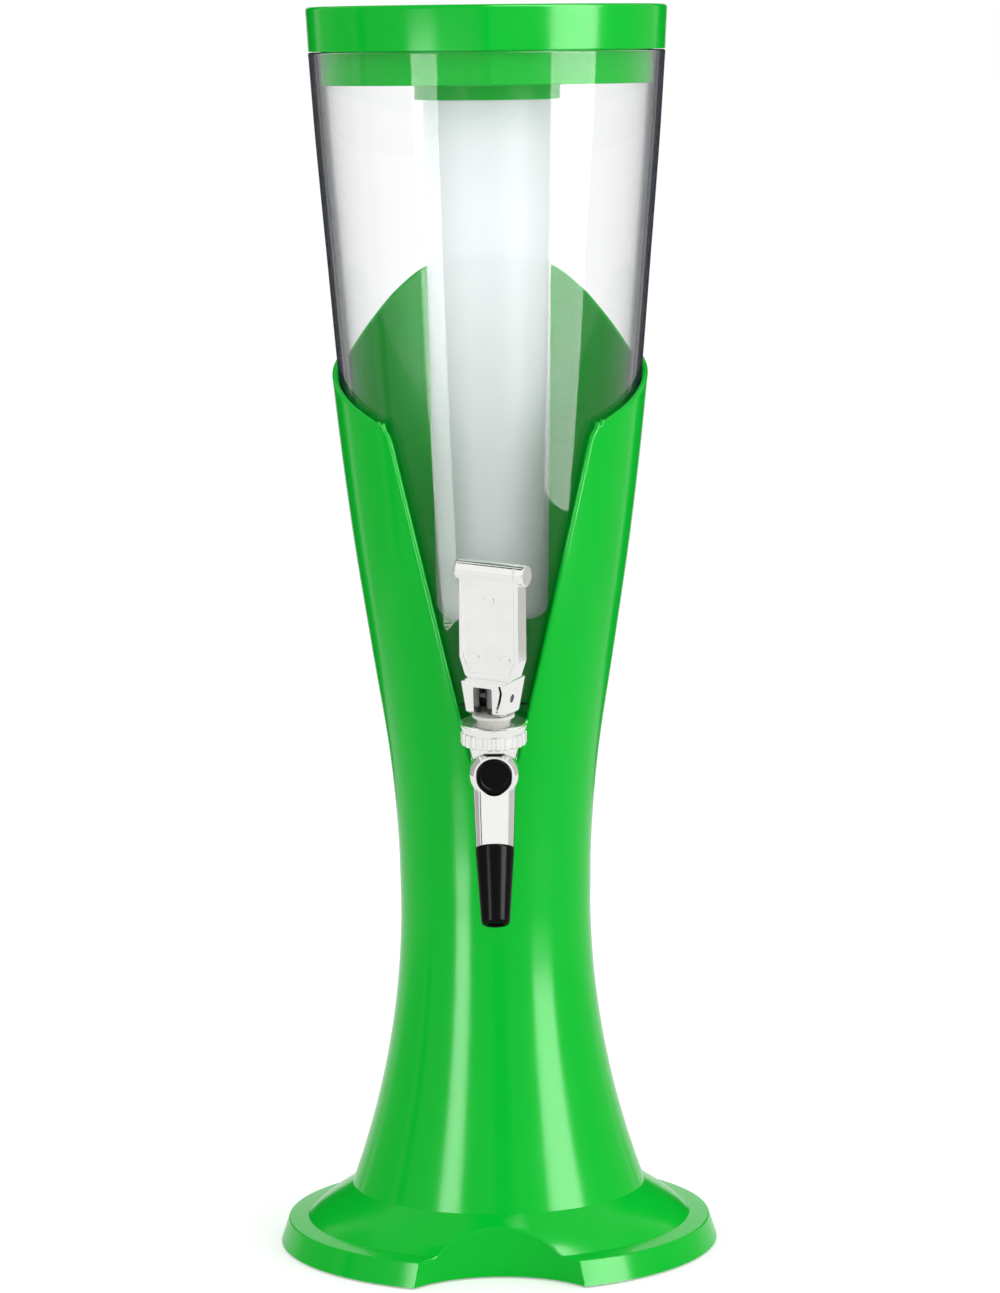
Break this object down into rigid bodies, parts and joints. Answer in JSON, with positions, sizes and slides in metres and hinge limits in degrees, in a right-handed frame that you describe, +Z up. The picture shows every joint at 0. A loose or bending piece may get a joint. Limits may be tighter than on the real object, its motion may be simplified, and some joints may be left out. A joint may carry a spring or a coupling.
{
  "type": "beer tower dispenser",
  "caption": "Tall table-top drinks dispenser: clear tapered tank in a flared holster base, with a lid, an ice tube and a lever tap at the front.",
  "frame": {"origin": "on the table, under the middle of the base", "axes": "+Z up, the tap looks along -Y, +X to the right as seen from the front"},
  "size_m": [0.2028, 0.204, 0.57],
  "materials": {
    "green_plastic": "glossy moulded plastic",
    "clear_plastic": "clear moulded plastic",
    "frosted_plastic": "frosted translucent plastic",
    "chrome": "bright chrome plate",
    "steel": "plain stainless steel",
    "black_plastic": "satin black moulded plastic",
    "white_nylon": "natural white nylon",
    "silicone": "translucent white silicone",
    "rubber": "matt black rubber"
  },
  "bodies": {
    "base": {"base_shell": "green_plastic", "rubber_foot_1": "rubber", "rubber_foot_2": "rubber", "rubber_foot_3": "rubber", "rubber_foot_4": "rubber"},
    "tank": {"tank": "clear_plastic", "tap_body": "chrome", "tap_outer_washer": "silicone", "tap_inner_washer": "silicone", "tap_lock_nut": "white_nylon", "front_plug": "black_plastic", "spout_nozzle": "black_plastic", "collar_nut": "chrome", "bonnet": "white_nylon", "bonnet_o_ring": "rubber", "stem_spring": "steel"},
    "lid": {"lid": "green_plastic"},
    "ice_tube": {"ice_tube": "frosted_plastic"},
    "swivel": {"saddle_washer": "white_nylon"},
    "stem": {"stem": "steel", "stem_seat": "rubber", "lever_pin": "steel"},
    "lever": {"lever": "chrome"}
  },
  "joints": [
    {"name": "tank_lift", "type": "slide", "parent": "base", "child": "tank", "axis": [0, 0, 1], "range_m": [0, 0.27]},
    {"name": "lid_lift", "type": "slide", "parent": "tank", "child": "lid", "axis": [0, 0, 1], "range_m": [0, 0.28]},
    {"name": "tube_twist", "type": "hinge", "parent": "lid", "child": "ice_tube", "pos_m": [0, 0, 0.53], "axis": [0, 0, 1], "range_deg": [0, 34]},
    {"name": "lever_swivel", "type": "hinge", "parent": "tank", "child": "swivel", "pos_m": [0, -0.0681, 0.23177], "axis": [0, -0.1219, 0.9925], "range_deg": [-32, 88]},
    {"name": "stem_lift", "type": "slide", "parent": "swivel", "child": "stem", "axis": [0, -0.1219, 0.9925], "range_m": [0, 0.003], "deforming": ["stem_spring"]},
    {"name": "lever_pull", "type": "hinge", "parent": "stem", "child": "lever", "pos_m": [0, -0.07218, 0.26502], "axis": [0.8829, -0.466, -0.0572], "range_deg": [0, 40], "stiffness_Nm_per_rad": 0.3, "springref_deg": -17.19}
  ],
  "couplings": [
    {"joint": "stem_lift", "follows": "lever_pull", "m_per_rad": 0.0042972}
  ]
}
